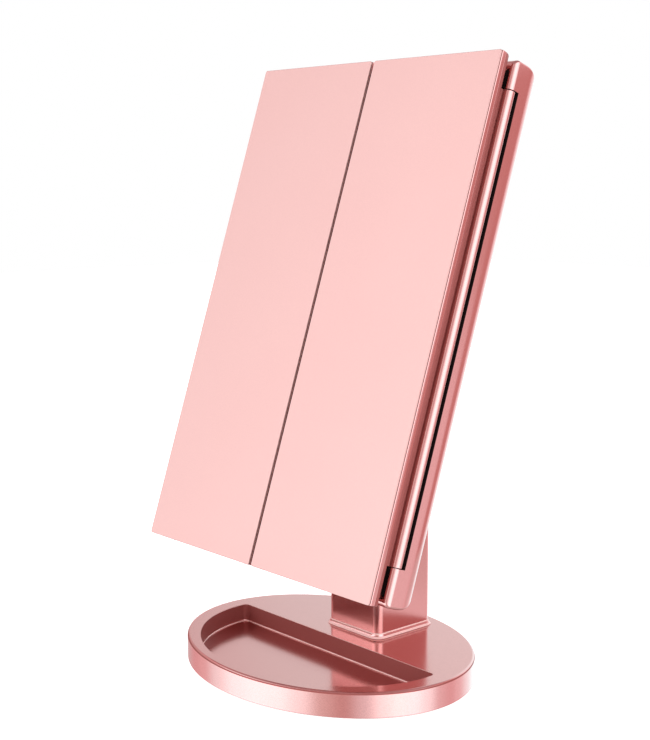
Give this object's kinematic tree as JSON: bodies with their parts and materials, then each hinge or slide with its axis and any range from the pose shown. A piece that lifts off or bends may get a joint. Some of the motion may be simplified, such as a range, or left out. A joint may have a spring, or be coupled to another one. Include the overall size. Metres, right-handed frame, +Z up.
{
  "type": "lighted makeup mirror",
  "caption": "Lighted makeup mirror whose hinged wings close over the centre glass, on a friction tilt joint, a square post and an oval foot with a sunken tray.",
  "frame": {"origin": "middle of the oval foot's outline, on the table under the rubber pads", "axes": "+Z up, +X to the right of somebody facing the mirror, +Y away from them towards the post; the wings' fronts face -Y and the head leans back"},
  "size_m": [0.183, 0.1434, 0.3318],
  "materials": {
    "rose_paint": "metallic rose paint on moulded plastic",
    "rose_satin": "satin pearl rose, light",
    "mirror_glass": "silvered glass",
    "frosted_strip": "frosted acrylic diffuser",
    "white_plastic": "plain moulded",
    "black_plastic": "fine texture",
    "steel": "zinc plated",
    "pad_rubber": "soft, anti-slip",
    "board_green": "solder resist",
    "board_white": "white lamp board",
    "nickel": "nickel plated",
    "sensor_copper": "copper pad",
    "cell_can": "plain wrapped can"
  },
  "bodies": {
    "stand": {"stand_shell": "rose_paint", "stand_bottom_cover": "black_plastic", "ballast_plate": "steel", "post_shell": "rose_paint", "post_rear_cover": "rose_paint", "tilt_knuckle": "rose_paint", "rubber_foot_1": "pad_rubber", "rubber_foot_2": "pad_rubber", "rubber_foot_3": "pad_rubber", "rubber_foot_4": "pad_rubber", "stand_screw_1": "steel", "stand_screw_2": "steel", "stand_screw_3": "steel", "stand_screw_4": "steel", "post_screw_1": "steel", "post_screw_2": "steel", "knuckle_screw_1": "steel", "knuckle_screw_2": "steel", "friction_washer_left": "pad_rubber", "friction_washer_right": "pad_rubber"},
    "head": {"head_frame": "rose_paint", "back_shell": "rose_paint", "centre_mirror": "mirror_glass", "light_strip": "frosted_strip", "lamp_carrier": "white_plastic", "lamp_board_left": "board_white", "lamp_board_right": "board_white", "lamp_board_top": "board_white", "touch_sensor": "sensor_copper", "control_board": "board_green", "usb_socket": "nickel", "switch_body": "black_plastic", "battery_contacts_left": "nickel", "battery_contacts_right": "nickel", "battery_cell_1": "cell_can", "battery_cell_2": "cell_can", "battery_cell_3": "cell_can", "battery_cell_4": "cell_can", "pivot_bracket": "steel", "tilt_axle": "steel", "tilt_nut": "steel", "hinge_pin_left_top": "steel", "hinge_pin_left_foot": "steel", "hinge_pin_right_top": "steel", "hinge_pin_right_foot": "steel", "bracket_screw_1": "steel", "bracket_screw_2": "steel", "back_screw_1": "steel", "back_screw_2": "steel", "back_screw_3": "steel", "back_screw_4": "steel"},
    "left_wing": {"left_wing_frame": "rose_paint", "left_wing_cover": "rose_satin", "left_upper_magnifier": "mirror_glass", "left_lower_magnifier": "mirror_glass"},
    "right_wing": {"right_wing_frame": "rose_paint", "right_wing_cover": "rose_satin", "right_wing_mirror": "mirror_glass"},
    "switch_knob": {"switch_knob": "black_plastic"},
    "battery_door": {"battery_door": "rose_paint"}
  },
  "joints": [
    {"name": "head_tilt", "type": "hinge", "parent": "stand", "child": "head", "pos_m": [0, 0.02983, 0.18401], "axis": [-1, 0, 0], "range_deg": [-18.4, 71.6]},
    {"name": "right_wing_hinge", "type": "hinge", "parent": "head", "child": "right_wing", "pos_m": [0.0881, 0.00639, 0.20445], "axis": [0, 0.3156, 0.9489], "range_deg": [0, 135]},
    {"name": "left_wing_hinge", "type": "hinge", "parent": "head", "child": "left_wing", "pos_m": [-0.0881, 0.00639, 0.20445], "axis": [0, -0.3156, -0.9489], "range_deg": [0, 135]},
    {"name": "power_switch_slide", "type": "slide", "parent": "head", "child": "switch_knob", "axis": [1, 0, 0], "range_m": [0, 0.0032]},
    {"name": "battery_door_slide", "type": "slide", "parent": "head", "child": "battery_door", "axis": [0, 0.3156, 0.9489], "range_m": [0, 0.066]}
  ]
}
